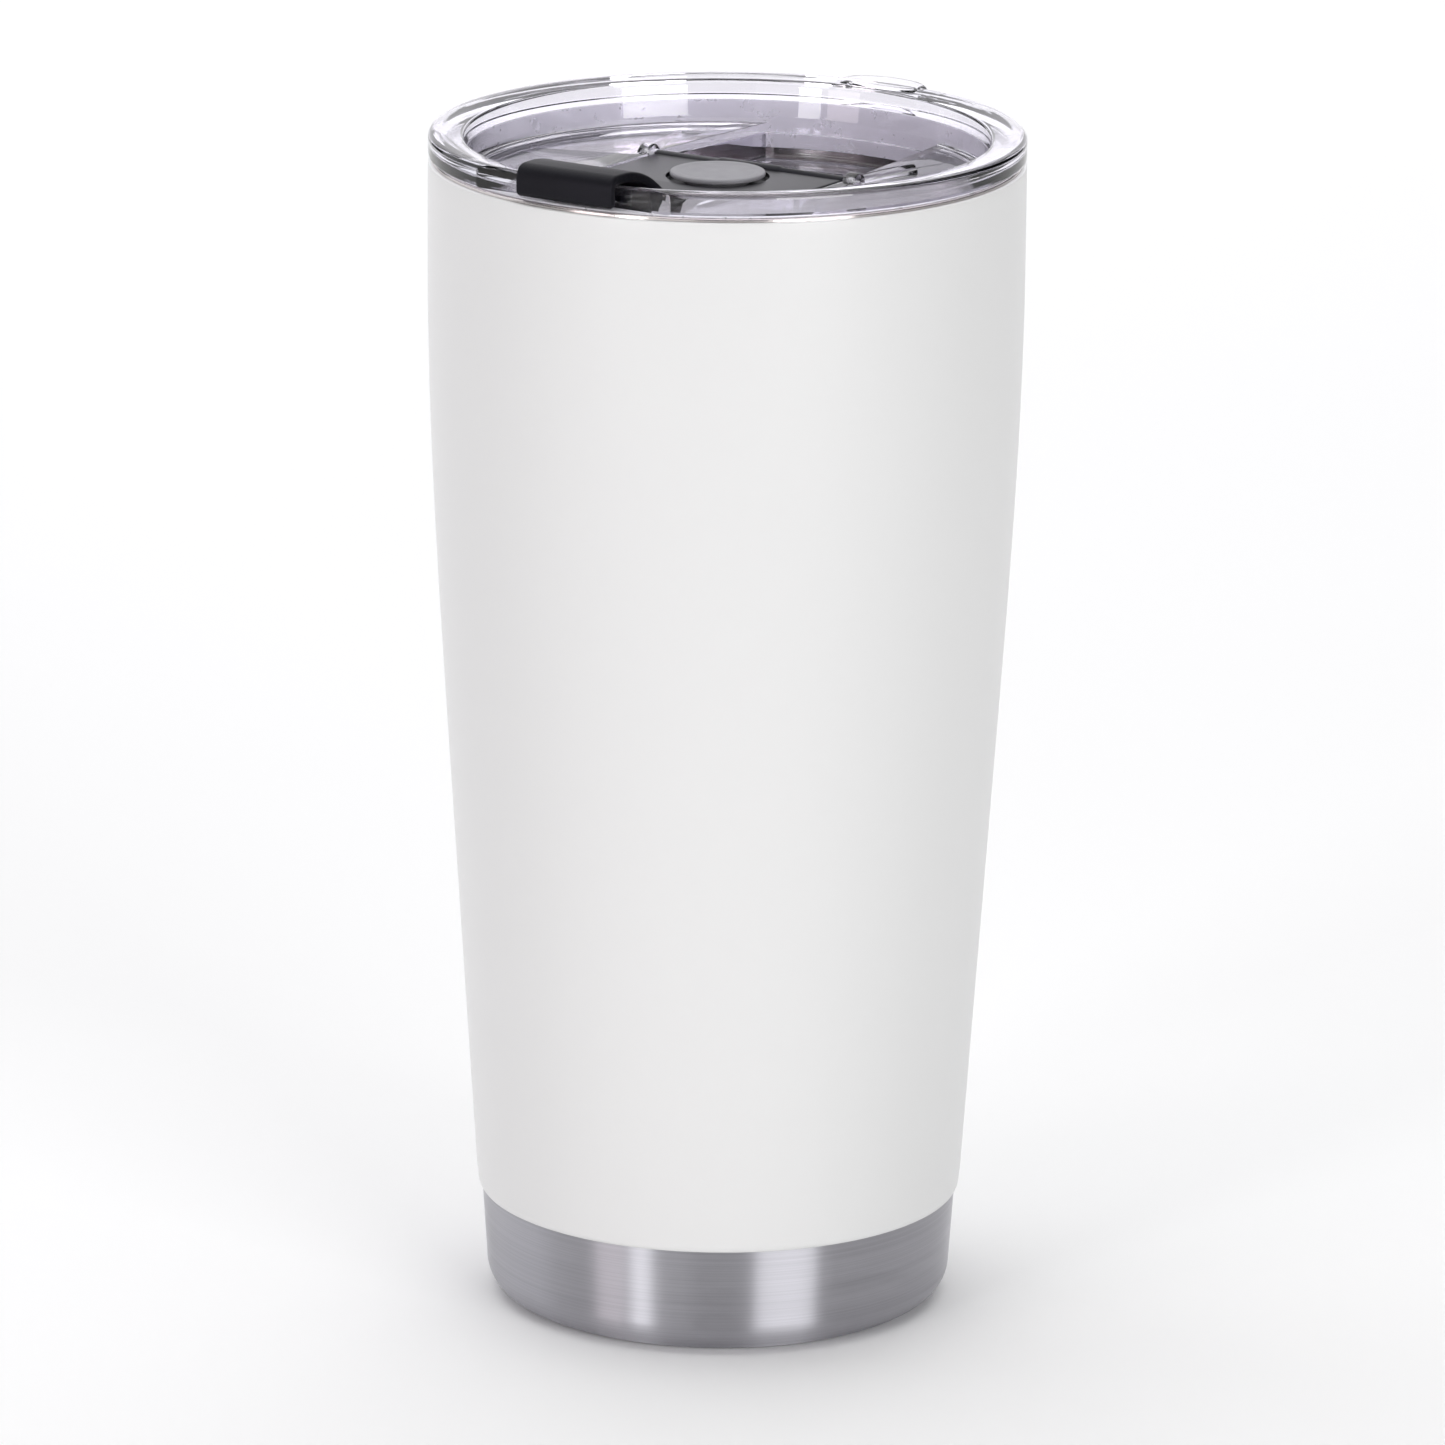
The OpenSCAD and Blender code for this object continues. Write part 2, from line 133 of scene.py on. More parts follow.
crown_r = 15.0
valley_r = 5.0
hook_r = 2.0
carrier_half_w = 5
carrier_half_l = 2.1
carrier_top_z = 174.4
flap_gap = 0.5
barrel_r = 1.2
knuckle_r = 1.4
lift_w = 14.4
knuckle_half_w = 6.0
stem_r = 4.1
finger_r = stopper_r + 0.6
finger_z = plate_top_z - 0.9
pocket_half_w = plate_half_w + flap_gap

ease_top_z = coat_top_z - straight_h
ease_low_z = ease_top_z - ease_h
taper = (top_r - foot_r) / (ease_low_z - band_z + ease_h * 2 / 3)


def coat_r(z):
    """Radius over the coat at height z: a cone that eases into the straight top."""
    if z < ease_low_z:
        return foot_r + taper * (z - band_z)
    if z < ease_top_z:
        rise = z - ease_low_z
        return foot_r + taper * (ease_low_z - band_z + rise - rise**3 / (3 * ease_h**2))
    return top_r


def wall(inset, z0, z1, steps=48):
    """Wall outline that lies a distance inside the coat's surface."""
    return [(coat_r(z) - inset, z) for z in (z0 + (z1 - z0) * i / steps for i in range(steps + 1))]


def arc(cx, cy, r, start, end, steps=8):
    angles = [math.radians(start + (end - start) * i / steps) for i in range(steps + 1)]
    return [(cx + r * math.cos(a), cy + r * math.sin(a)) for a in angles]


def fillet(points, radii, steps=5):
    """Closed outline with each corner rounded to its own radius."""
    result = []
    count = len(points)
    for i, (x, y) in enumerate(points):
        radius = radii[i] if isinstance(radii, (list, tuple)) else radii
        to_last = Vector(points[i - 1]) - Vector((x, y))
        to_next = Vector(points[(i + 1) % count]) - Vector((x, y))
        if radius <= 0 or to_last.length < 1e-6 or to_next.length < 1e-6:
            result.append((x, y))
            continue
        half = to_last.angle(to_next) / 2
        if half > math.radians(87):
            result.append((x, y))
            continue
        reach = min(radius / math.tan(half), 0.48 * to_last.length, 0.48 * to_next.length)
        r = reach * math.tan(half)
        a, b = to_last.normalized(), to_next.normalized()
        centre = Vector((x, y)) + (a + b).normalized() * (r / math.sin(half))
        first = Vector((x, y)) + a * reach - centre
        last = Vector((x, y)) + b * reach - centre
        turn = math.atan2(first.cross(last), first.dot(last))
        for k in range(steps + 1):
            c, s = math.cos(turn * k / steps), math.sin(turn * k / steps)
            result.append((centre.x + c * first.x - s * first.y, centre.y + s * first.x + c * first.y))
    return result


def grown(outline, distance):
    """Counter-clockwise outline moved outwards by a distance."""
    result = []
    count = len(outline)
    for i in range(count):
        before = Vector(outline[i]) - Vector(outline[i - 1])
        after = Vector(outline[(i + 1) % count]) - Vector(outline[i])
        n1 = Vector((before.y, -before.x)).normalized()
        n2 = Vector((after.y, -after.x)).normalized()
        n = (n1 + n2).normalized()
        result.append(tuple(Vector(outline[i]) + n * (distance / max(0.35, n.dot(n1)))))
    return result


# ---------------------------------------------------------------- mesh building
def make_object(name, bm, scale=MM):
    bmesh.ops.recalc_face_normals(bm, faces=bm.faces)
    bmesh.ops.scale(bm, vec=(scale, scale, scale), verts=bm.verts)
    mesh = bpy.data.meshes.new(name)
    bm.to_mesh(mesh)
    bm.free()
    obj = bpy.data.objects.new(name, mesh)
    collection.objects.link(obj)
    return obj


def lathe(name, outline, segments=256, centre=(0, 0)):
    """Closed outline of (radius, height) turned about a vertical axis."""
    bm = bmesh.new()
    rings = []
    for r, z in outline:
        if r < 1e-4:
            rings.append([bm.verts.new((centre[0], centre[1], z))])
            continue
        angles = [2 * math.pi * i / segments for i in range(segments)]
        rings.append([bm.verts.new((centre[0] + r * math.cos(a), centre[1] + r * math.sin(a), z))
                      for a in angles])
    for i, ring in enumerate(rings):
        other = rings[(i + 1) % len(rings)]
        if len(ring) == 1 and len(other) == 1:
            continue
        for k in range(segments):
            j = (k + 1) % segments
            if len(ring) == 1:
                bm.faces.new((ring[0], other[k], other[j]))
            elif len(other) == 1:
                bm.faces.new((ring[k], ring[j], other[0]))
            else:
                bm.faces.new((ring[k], ring[j], other[j], other[k]))
    return make_object(name, bm)


def stack(name, layers, scale=MM):
    """Closed solid through rings of 3-D points, all with the same number of points."""
    bm = bmesh.new()
    rings = [[bm.verts.new(p) for p in layer] for layer in layers]
    count = len(rings[0])
    for ring, other in zip(rings, rings[1:]):
        for k in range(count):
            j = (k + 1) % count
            bm.faces.new((ring[k], ring[j], other[j], other[k]))
    bm.faces.new(rings[0][::-1])
    bm.faces.new(rings[-1])
    return make_object(name, bm, scale)


def prism(name, outline, z0, z1, round_low=0.0, round_high=0.0, steps=4):
    """Upright prism with rounded lower and upper edges; a negative radius flares the edge outwards."""
    layers = []
    for radius, z, sign in ((round_low, z0, 1), (round_high, z1, -1)):
        edge = []
        if radius == 0:
            edge = [(0.0, z)]
        else:
            for i in range(steps + 1):
                a = math.pi / 2 * i / steps
                edge.append((-radius * (1 - math.sin(a)), z + sign * abs(radius) * (1 - math.cos(a))))
        layers += edge if sign > 0 else edge[::-1]
    return stack(name, [[(x, y, z) for x, y in (grown(outline, d) if d else outline)] for d, z in layers])


def rod(name, centre, radius, half_length, edge=0.3, segments=64):
    """Round bar along X with rounded ends."""
    outline = arc(-half_length + edge, radius - edge, edge, 180, 90, 4)
    outline += arc(half_length - edge, radius - edge, edge, 90, 0, 4)
    layers = []
    for x, r in outline:
        angles = [2 * math.pi * i / segments for i in range(segments)]
        layers.append([(centre[0] + x, centre[1] + r * math.cos(a), centre[2] + r * math.sin(a))
                       for a in angles])
    return stack(name, layers)


def block(name, corner0, corner1):
    outline = [(corner0[0], corner0[1]), (corner1[0], corner0[1]),
               (corner1[0], corner1[1]), (corner0[0], corner1[1])]
    return prism(name, outline, corner0[2], corner1[2])


def applied(obj):
    """Replaces the object's mesh with what its modifiers make of it."""
    depsgraph = bpy.context.evaluated_depsgraph_get()
    mesh = bpy.data.meshes.new_from_object(obj.evaluated_get(depsgraph))
    obj.modifiers.clear()
    old = obj.data
    obj.data = mesh
    bpy.data.meshes.remove(old)
    return obj


def combine(obj, others, operation):
    for other in others:
        modifier = obj.modifiers.new(operation, "BOOLEAN")
        modifier.operation = operation
        modifier.solver = "EXACT"
        modifier.object = other
        applied(obj)
        bpy.data.objects.remove(other)
    return obj


def bevelled(obj, width, angle=32, segments=3):
    """Rounds the sharp edges that the solid operations left."""
    bm = bmesh.new()
    bm.from_mesh(obj.data)
    bmesh.ops.remove_doubles(bm, verts=bm.verts, dist=1e-6)
    bmesh.ops.dissolve_degenerate(bm, edges=bm.edges, dist=1e-6)
    bmesh.ops.dissolve_limit(bm, angle_limit=math.radians(0.5), verts=bm.verts, edges=bm.edges)
    bm.to_mesh(obj.data)
    bm.free()
    modifier = obj.modifiers.new("edges", "BEVEL")
    modifier.width = width * MM
    modifier.segments = segments
    modifier.limit_method = "ANGLE"
    modifier.angle_limit = math.radians(angle)
    modifier.use_clamp_overlap = True
    modifier.harden_normals = False
    return applied(obj)


def smooth(obj, angle=38):
    mesh = obj.data
    mesh.polygons.foreach_set("use_smooth", [True] * len(mesh.polygons))
    mesh.set_sharp_from_angle(angle=math.radians(angle))
    return obj


def finish_piece(obj, body, slot, material, *replaced):
    obj.data.materials.clear()
    obj.data.materials.append(material)
    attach(obj, body)
    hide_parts(*replaced)
    return obj


# ---------------------------------------------------------------- materials
def new_material(name):
    material = bpy.data.materials.new(name)
    material.use_nodes = True
    tree = material.node_tree
    shader = tree.nodes["Principled BSDF"]
    return material, tree, shader


def stretched(tree, scale):
    """Object coordinates, in metres, scaled to cells per metre along each axis."""
    coordinates = tree.nodes.new("ShaderNodeTexCoord")
    mapping = tree.nodes.new("ShaderNodeMapping")
    mapping.inputs["Scale"].default_value = scale
    tree.links.new(coordinates.outputs["Object"], mapping.inputs["Vector"])
    return mapping.outputs["Vector"]


def noise(tree, scale, detail=3.0, roughness=0.5):
    node = tree.nodes.new("ShaderNodeTexNoise")
    node.inputs["Scale"].default_value = 1.0
    node.inputs["Detail"].default_value = detail
    node.inputs["Roughness"].default_value = roughness
    tree.links.new(stretched(tree, scale), node.inputs["Vector"])
    return node.outputs["Fac"]


def ranged(tree, value, low_out, high_out, low_in=0.3, high_in=0.7):
    node = tree.nodes.new("ShaderNodeMapRange")
    node.inputs["From Min"].default_value = low_in
    node.inputs["From Max"].default_value = high_in
    node.inputs["To Min"].default_value = low_out
    node.inputs["To Max"].default_value = high_out
    tree.links.new(value, node.inputs["Value"])
    return node.outputs["Result"]


def tinted(tree, value, dark, light, low_in=0.3, high_in=0.7):
    ramp = tree.nodes.new("ShaderNodeValToRGB")
    ramp.color_ramp.elements[0].position = low_in
    ramp.color_ramp.elements[1].position = high_in
    ramp.color_ramp.elements[0].color = (*dark, 1)
    ramp.color_ramp.elements[1].color = (*light, 1)
    tree.links.new(value, ramp.inputs["Fac"])
    return ramp.outputs["Color"]


def bumped(tree, shader, value, strength, distance):
    bump = tree.nodes.new("ShaderNodeBump")
    bump.inputs["Strength"].default_value = strength
    bump.inputs["Distance"].default_value = distance
    tree.links.new(value, bump.inputs["Height"])
    tree.links.new(bump.outputs["Normal"], shader.inputs["Normal"])
    return bump


def coat_material():
    """Smooth white coat with a faint orange peel."""
    material, tree, shader = new_material("white_coat")
    cloud = noise(tree, (9, 9, 6), 2)
    tree.links.new(tinted(tree, cloud, (0.70, 0.702, 0.70), (0.71, 0.71, 0.708)), shader.inputs["Base Color"])
    tree.links.new(ranged(tree, noise(tree, (60, 60, 60), 2), 0.29, 0.31), shader.inputs["Roughness"])
    bumped(tree, shader, noise(tree, (620, 620, 620), 2), 0.05, 0.00003)
    shader.inputs["Specular IOR Level"].default_value = 0.25
    return material


def steel_material(name, dark, light, rough, axis_scale=(9, 9, 5200), bump=0.05):
    """Steel brushed around the axis: long fine streaks in colour, roughness and relief."""
    material, tree, shader = new_material(name)
    fine = noise(tree, axis_scale, 5, 0.65)
    broad = noise(tree, (axis_scale[0] * 3, axis_scale[1] * 3, axis_scale[2] / 9), 3)
    tree.links.new(tinted(tree, fine, dark, light, 0.25, 0.75), shader.inputs["Base Color"])
    tree.links.new(ranged(tree, broad, rough[0], rough[1]), shader.inputs["Roughness"])
    bumped(tree, shader, fine, bump, 0.00003)
    shader.inputs["Metallic"].default_value = 1.0
    shader.inputs["Anisotropic"].default_value = 1.0
    shader.inputs["Anisotropic Rotation"].default_value = 0.25
    tangent = tree.nodes.new("ShaderNodeTangent")
    tangent.direction_type = "RADIAL"
    tangent.axis = "Z"
    tree.links.new(tangent.outputs["Tangent"], shader.inputs["Tangent"])
    return material


def clear_material():
    """Clear hard plastic with faint flow lines and handling scuffs."""
    material, tree, shader = new_material("clear_plastic")
    shader.inputs["Base Color"].default_value = (0.89, 0.872, 0.935, 1)
    shader.inputs["Transmission Weight"].default_value = 1.0
    shader.inputs["IOR"].default_value = 1.49
    haze = ranged(tree, noise(tree, (300, 300, 300), 5), 0.0, 0.01, 0.5, 0.9)
    tree.links.new(haze, shader.inputs["Roughness"])
    bumped(tree, shader, noise(tree, (45, 45, 45), 1), 0.02, 0.0001)
    return material


def translucent_material():
    """Milky soft silicone with a fine moulded grain."""
    material, tree, shader = new_material("clear_silicone")
    shader.inputs["Transmission Weight"].default_value = 0.5
    shader.inputs["IOR"].default_value = 1.41
    tree.links.new(tinted(tree, noise(tree, (80, 80, 80), 3), (0.82, 0.81, 0.86), (0.86, 0.85, 0.90)),
                   shader.inputs["Base Color"])
    tree.links.new(ranged(tree, noise(tree, (400, 400, 400), 3), 0.26, 0.34), shader.inputs["Roughness"])
    bumped(tree, shader, noise(tree, (250, 250, 250), 1), 0.03, 0.00004)
    return material


def soft_material(name, dark, light, rough, grain=900, bump=0.25):
    """Moulded rubber or plastic with a fine grain."""
    material, tree, shader = new_material(name)
    tree.links.new(tinted(tree, noise(tree, (55, 55, 55), 4), dark, light), shader.inputs["Base Color"])
    gloss = ranged(tree, noise(tree, (grain / 3,) * 3, 4), rough[0], rough[1])
    tree.links.new(gloss, shader.inputs["Roughness"])
    bumped(tree, shader, noise(tree, (grain,) * 3, 3), bump, 0.00005)
    return material


def flap_material():
    """Black plastic: satin plate, and a coarser matt grain on the thumb tab."""
    material, tree, shader = new_material("black_plastic")
    tree.links.new(tinted(tree, noise(tree, (60, 60, 60), 4), (0.003, 0.003, 0.004), (0.006, 0.006, 0.008)),
                   shader.inputs["Base Color"])
    coordinates = tree.nodes.new("ShaderNodeTexCoord")
    split = tree.nodes.new("ShaderNodeSeparateXYZ")
    tree.links.new(coordinates.outputs["Object"], split.inputs["Vector"])
    on_tab = ranged(tree, split.outputs["Y"], 1.0, 0.0, -0.036, -0.031)
    shader.inputs["Specular IOR Level"].default_value = 0.17
    shader.inputs["Specular Tint"].default_value = (0.86, 0.84, 1.0, 1)
    tree.links.new(ranged(tree, on_tab, 0.3, 0.5, 0.0, 1.0), shader.inputs["Roughness"])
    grain = noise(tree, (1500, 1500, 1500), 3, 0.6)
    bump = bumped(tree, shader, grain, 0.3, 0.00006)
    strength = ranged(tree, on_tab, 0.12, 0.65, 0.0, 1.0)
    tree.links.new(strength, bump.inputs["Strength"])
    return material


white_coat = coat_material()
outer_steel = steel_material("brushed_steel", (0.385, 0.38, 0.41), (0.485, 0.48, 0.515), (0.31, 0.37))
inner_steel = steel_material("drawn_steel", (0.72, 0.67, 0.66), (0.80, 0.75, 0.74), (0.20, 0.27), bump=0.03)
cap_steel = steel_material("pressed_steel", (0.45, 0.45, 0.46), (0.56, 0.56, 0.57), (0.3, 0.4),
                           (900, 60, 900))
pin_steel = steel_material("ground_steel", (0.5, 0.5, 0.5), (0.6, 0.6, 0.6), (0.2, 0.3), (4000, 40, 40))
clear_plastic = clear_material()
clear_silicone = translucent_material()
stopper_rubber = soft_material("grey_silicone", (0.255, 0.250, 0.272), (0.29, 0.285, 0.308), (0.5, 0.62),
                               1400, 0.2)
seal_rubber = soft_material("dark_silicone", (0.10, 0.10, 0.11), (0.14, 0.14, 0.15), (0.45, 0.6))
black_plastic = flap_material()


# ---------------------------------------------------------------- cup
def coat_skin():
    edge_h = 1.4
    lower = [(coat_r(band_z) - coat_t * (1 - math.sin(math.radians(a))),
              band_z + edge_h * (1 - math.cos(math.radians(a)))) for a in range(0, 91, 9)]
    top_edge = 0.25
    outline = lower + wall(0, band_z + edge_h, coat_top_z - top_edge, 90)[1:]
    outline += arc(top_r - top_edge, coat_top_z - top_edge, top_edge, 0, 90, 4)[1:]
    outline += wall(coat_t - skin_gap, band_z, coat_top_z, 60)[::-1]
    return smooth(lathe("white_coat_skin", outline, 384), 50)


def outer_wall():
    outline = wall(coat_t + skin_gap, seam_z, coat_top_z, 60)
    outline += wall(coat_t + shell_t, seam_z, coat_top_z, 60)[::-1]
    return smooth(lathe("outer_wall", outline, 256))


def foot_pan():
    corner_x = coat_r(base_corner_r) - coat_t - skin_gap - base_corner_r
    recess_r = corner_x - ring_w
    r = base_corner_r
    outline = [(1.2, recess_z), (recess_r - 1.0, recess_z)]
    outline += arc(recess_r - 1.0, recess_z - 0.5, 0.5, 90, 40, 4)
    outline += arc(recess_r + 0.35, 0.35, 0.35, 200, 270, 4)
    outline += arc(corner_x, r, r, -90, 0, 20)
    wall_r = coat_r(seam_z) - coat_t - skin_gap
    outline += [(wall_r, seam_z), (wall_r - pan_t, seam_z)]
    outline += arc(corner_x, r, r - pan_t, 0, -90, 12)
    outline += [(recess_r + 0.3, pan_t), (recess_r - 0.4, recess_z + pan_t), (1.2, recess_z + pan_t)]
    return smooth(lathe("foot_pan", outline, 256))


def cap_disc():
    ring_r = cap_r * 0.62
    press = 0.25
    outline = [(0, cap_low_z), (ring_r - 1.2, cap_low_z)]
    outline += [(ring_r - 1.2 + 2.4 * i / 12, cap_low_z + press * math.sin(math.pi * i / 12) ** 2)
                for i in range(1, 12)]
    outline += [(ring_r + 1.2, cap_low_z)]
    outline += arc(cap_r - 0.25, cap_low_z + 0.25, 0.25, -90, 0, 5)
    outline += [(cap_r, recess_z), (0, recess_z)]
    return smooth(lathe("cap_disc", outline, 192))


def liner_face(grow):
    bend_r = floor_corner_r + grow
    bend_z = floor_z + floor_corner_r
    inset = coat_t + shell_t + vacuum_gap + liner_t - grow
    low_r = coat_r(bend_z) - inset
    points = [(0, floor_z - grow)] + arc(low_r - bend_r, bend_z, bend_r, -90, 0, 12)
    points += wall(inset, bend_z, shoulder_z, 48)[1:]
    start = points[-1]
    end = (mouth_r + grow, mouth_z)
    for i in range(1, 13):
        t = i / 12
        blend = t * t * (3 - 2 * t)
        points.append((start[0] + (end[0] - start[0]) * blend, start[1] + (end[1] - start[1]) * t))
    return points


def inner_wall():
    lip = 0.25
    flange_r = steel_top_r
    outline = liner_face(0) + arc(mouth_r + lip, cup_h - lip, lip, 180, 90, 5)
    outline += arc(flange_r - lip, cup_h - lip, lip, 90, 0, 5)
    outline += [(flange_r, coat_top_z + EPS), (mouth_r + liner_t, coat_top_z + EPS)]
    outline += liner_face(liner_t)[::-1]
    return smooth(lathe("inner_wall", outline, 256))


finish_piece(coat_skin(), "cup", "coat", white_coat, "colour_coat")
finish_piece(outer_wall(), "cup", "steel", outer_steel, "outer_shell")
finish_piece(foot_pan(), "cup", "steel", outer_steel, "base_pan")
finish_piece(cap_disc(), "cup", "steel", cap_steel, "base_cap")
finish_piece(inner_wall(), "cup", "liner", inner_steel, "inner_liner")


# ---------------------------------------------------------------- lid
def pocket_outline(grow, front_r, corner):
    """Plan outline of the pocket: a narrow throat for the neck, then the wide part for the plate."""
    rear_w = pocket_half_w - pocket_rear_step + grow
    neck_w = tab_half_w + flap_gap + grow
    wide_w = pocket_half_w + grow
    front_a = math.degrees(math.asin(neck_w / front_r))
    rear_a = math.degrees(math.asin(rear_w / front_r))
    rear = arc(0, 0, front_r, 90 - rear_a, 90 + rear_a, 16)
    front = arc(0, 0, front_r, 270 - front_a, 270 + front_a, 10)
    side_y = hinge_y + barrel_r + flap_gap
    right = [(neck_w, throat_y), (wide_w, taper_rear_y), (wide_w, side_y)]
    left = [(-wide_w, side_y), (-wide_w, taper_rear_y), (-neck_w, throat_y)]
    points = right + rear + left + front
    radii = [2.5, 2.5, 4.0] + [corner] + [0] * (len(rear) - 2) + [corner] + [4.0, 2.5, 2.5]
    radii += [corner] + [0] * (len(front) - 2) + [corner]
    return fillet(points, radii)


def lid_profile():
    crest = 1.3
    points = [(0, side_floor_z - lid_floor_t), (well_r, side_floor_z - lid_floor_t), (well_r, plug_z),
              (plug_r - 0.5, plug_z), (plug_r, plug_z + 1.2), (plug_r, groove_low_z),
              (plug_r - groove_depth, groove_low_z), (plug_r - groove_depth, groove_top_z),
              (plug_r, groove_top_z),
              (plug_r, seat_z), (top_r, seat_z), (top_r, rim_z), (top_r - crest - 0.6, rim_z),
              (well_r + 0.7, rim_z - 0.65), (well_r, side_floor_z), (0, side_floor_z)]
    radii = [0, 0.6, 0.3, 0.3, 0.5, 0, 0, 0, 0, 0.25, 0.3, crest, 3.0, 0.75, 1.0, 0]
    return fillet(points, radii, 8)


def slot_outline(length, width, y):
    reach = (length - width) / 2
    right = [(x + reach, y0 + y) for x, y0 in arc(0, 0, width / 2, -90, 90, 12)]
    left = [(x - reach, y0 + y) for x, y0 in arc(0, 0, width / 2, 90, 270, 12)]
    return right + left


def lift_outline():
    base_y = top_r - 1.0
    angles = [math.pi * i / 30 for i in range(31)]
    curve = [(lift_w / 2 * math.cos(a), base_y + (lift_y - base_y) * math.sin(a)) for a in angles]
    return [(lift_w / 2, top_r - 4)] + curve + [(-lift_w / 2, top_r - 4)]


def lid_shell():
    lid = lathe("lid_shell", lid_profile(), 256)
    outer = prism("outer", pocket_outline(pocket_wall_t, well_r + 0.8, 0), pocket_z - lid_floor_t,
                  side_floor_z - EPS, 0.8)
    bosses = [rod("boss", (side * (pocket_half_w + 1.0), hinge_y, hinge_z), 2.0, 1.0, 0.35)
              for side in (-1, 1)]
    tab = prism("tab", lift_outline(), rim_z - 2.2, lift_z, 0.9, 0.9, 8)
    combine(lid, [outer, tab, *bosses], "UNION")
    inner = prism("inner", pocket_outline(0, well_r - 0.05, 0.8), pocket_z, rim_z + 4, 0.7)
    front = block("front", (-top_r, -top_r - 2, seat_z - EPS), (top_r, flat_y, rim_z + 2))
    straw = lathe("straw", [(0, plug_z - 1), (straw_r, plug_z - 1), (straw_r, pocket_z + 1),
                            (0, pocket_z + 1)], 96, (0, stopper_y))
    sip = prism("sip", slot_outline(sip_w, sip_l, sip_y), plug_z - 1, pocket_z + 1)
    bore = rod("bore", (0, hinge_y, hinge_z), pin_r, pin_half_l + 0.05, 0.1)
    combine(lid, [inner, front, straw, sip, bore], "DIFFERENCE")
    return smooth(bevelled(lid, 0.22), 40)


def gasket_ring():
    band_r = plug_r + 0.45
    upper = seat_z - 2.2
    lower = gasket_low_z + 0.5
    flange_z = seat_z - 0.35
    groove_r = plug_r - groove_depth
    points = [(groove_r + EPS, groove_low_z + EPS), (plug_r + EPS, groove_low_z + EPS),
              (plug_r + EPS, gasket_low_z), (band_r, gasket_low_z), (band_r, lower), (fin_r, lower + 0.5),
              (fin_r, lower + 0.85), (band_r, lower + 1.0), (band_r, upper - 0.7), (fin_r, upper - 0.2),
              (fin_r, upper + 0.15), (band_r, upper + 0.3), (band_r, flange_z), (gasket_r, flange_z),
              (gasket_r, seat_z - EPS), (plug_r + EPS, seat_z - EPS), (plug_r + EPS, groove_top_z - EPS),
              (groove_r + EPS, groove_top_z - EPS)]
    radii = [0, 0, 0.1, 0.1, 0.1, 0.15, 0.15, 0.1, 0.1, 0.15, 0.15, 0.1, 0.15, 0.15, 0.15, 0, 0, 0]
    return smooth(lathe("gasket_ring", fillet(points, radii, 3), 256))


def pin():
    return smooth(rod("hinge_pin_bar", (0, hinge_y, hinge_z), pin_r, pin_half_l, 0.15))


clear_lid = finish_piece(lid_shell(), "lid", "clear", clear_plastic, "lid_body")
clear_lid.visible_shadow = False  # clear plastic lets the light through to the pieces under it
finish_piece(gasket_ring(), "lid", "gasket", clear_silicone, "lid_gasket")
finish_piece(pin(), "lid", "pin", pin_steel, "hinge_pin")


# ---------------------------------------------------------------- flap
def plate_width(y):
    """Half width of the flap at y: wide plate, straight taper, narrow neck, with eased corners."""
    def ramp(v):
        return min(1.0, max(0.0, (v - plate_front_y) / (taper_rear_y - plate_front_y)))

    eased = sum(ramp(y + d) for d in (-1.6, -0.8, 0, 0.8, 1.6)) / 5
    return tab_half_w + (plate_half_w - tab_half_w) * eased


def flap_path():
    """Centre line of the flap from the hinge to the tab's tip: (y, z, direction, thickness)."""
    valley_mid = (plate_front_y, plate_top_z + valley_r)
    crown_mid = (crown_y, crown_z - crown_r)
    stations = []
    plate_t = plate_top_z - plate_z
    plate_mid_z = (plate_top_z + plate_z) / 2
    steps = 40
    for i in range(steps):
        stations.append((hinge_y + (valley_mid[0] - hinge_y) * i / steps, plate_mid_z, 180.0, plate_t))
    for y, z in arc(*valley_mid, valley_r + plate_t / 2, -90, -90 - neck_angle, 8):
        a = math.degrees(math.atan2(z - valley_mid[1], y - valley_mid[0]))
        stations.append((y, z, a - 90, plate_t))
    for i, (y, z) in enumerate(arc(*crown_mid, crown_r - neck_t / 2, 90 - neck_angle, 90, 14)):
        a = 90 - neck_angle + neck_angle * i / 14
        stations.append((y, z, a + 90, neck_t))
    hook_mid = (-tab_y + hook_r, crown_z - hook_r)
    for i, (y, z) in enumerate(arc(*hook_mid, hook_r - neck_t / 2, 90, 180, 8)):
        stations.append((y, z, 180 + 90 * i / 8, neck_t))
    tip_z = crown_z - tab_drop
    straight = hook_mid[1] - tip_z - neck_t / 2
    for i in range(1, 5):
        stations.append((-tab_y + neck_t / 2, hook_mid[1] - straight * i / 4, 270.0, neck_t))
    return stations


def section(y, z, direction, thickness, half_w, corner):
    """Rounded rectangle across the path at one station."""
    normal = (-math.sin(math.radians(direction)), math.cos(math.radians(direction)))
    c = min(corner, thickness / 2 - 0.01)
    half_t = thickness / 2
    shape = []
    for cx, cy, start in ((half_w - c, half_t - c, 0), (-half_w + c, half_t - c, 90),
                          (-half_w + c, -half_t + c, 180), (half_w - c, -half_t + c, 270)):
        shape += arc(cx, cy, c, start, start + 90, 4)
    return [(x, y + normal[0] * t, z + normal[1] * t) for x, t in shape]


def flap_blade():
    layers = []
    stations = flap_path()
    for y, z, direction, thickness in stations:
        layers.append(section(y, z, direction, thickness, plate_width(y), 0.45))
    y, z, direction, thickness = stations[-1]
    for i in range(1, 7):
        a = math.radians(90 * i / 6)
        shrink = max(math.cos(a), 0.12)
        layers.append(section(y, z - thickness / 2 * math.sin(a), direction, thickness * shrink,
                              tab_half_w - 0.6 * (1 - math.cos(a)), 0.45))
    return stack("flap_blade", layers)


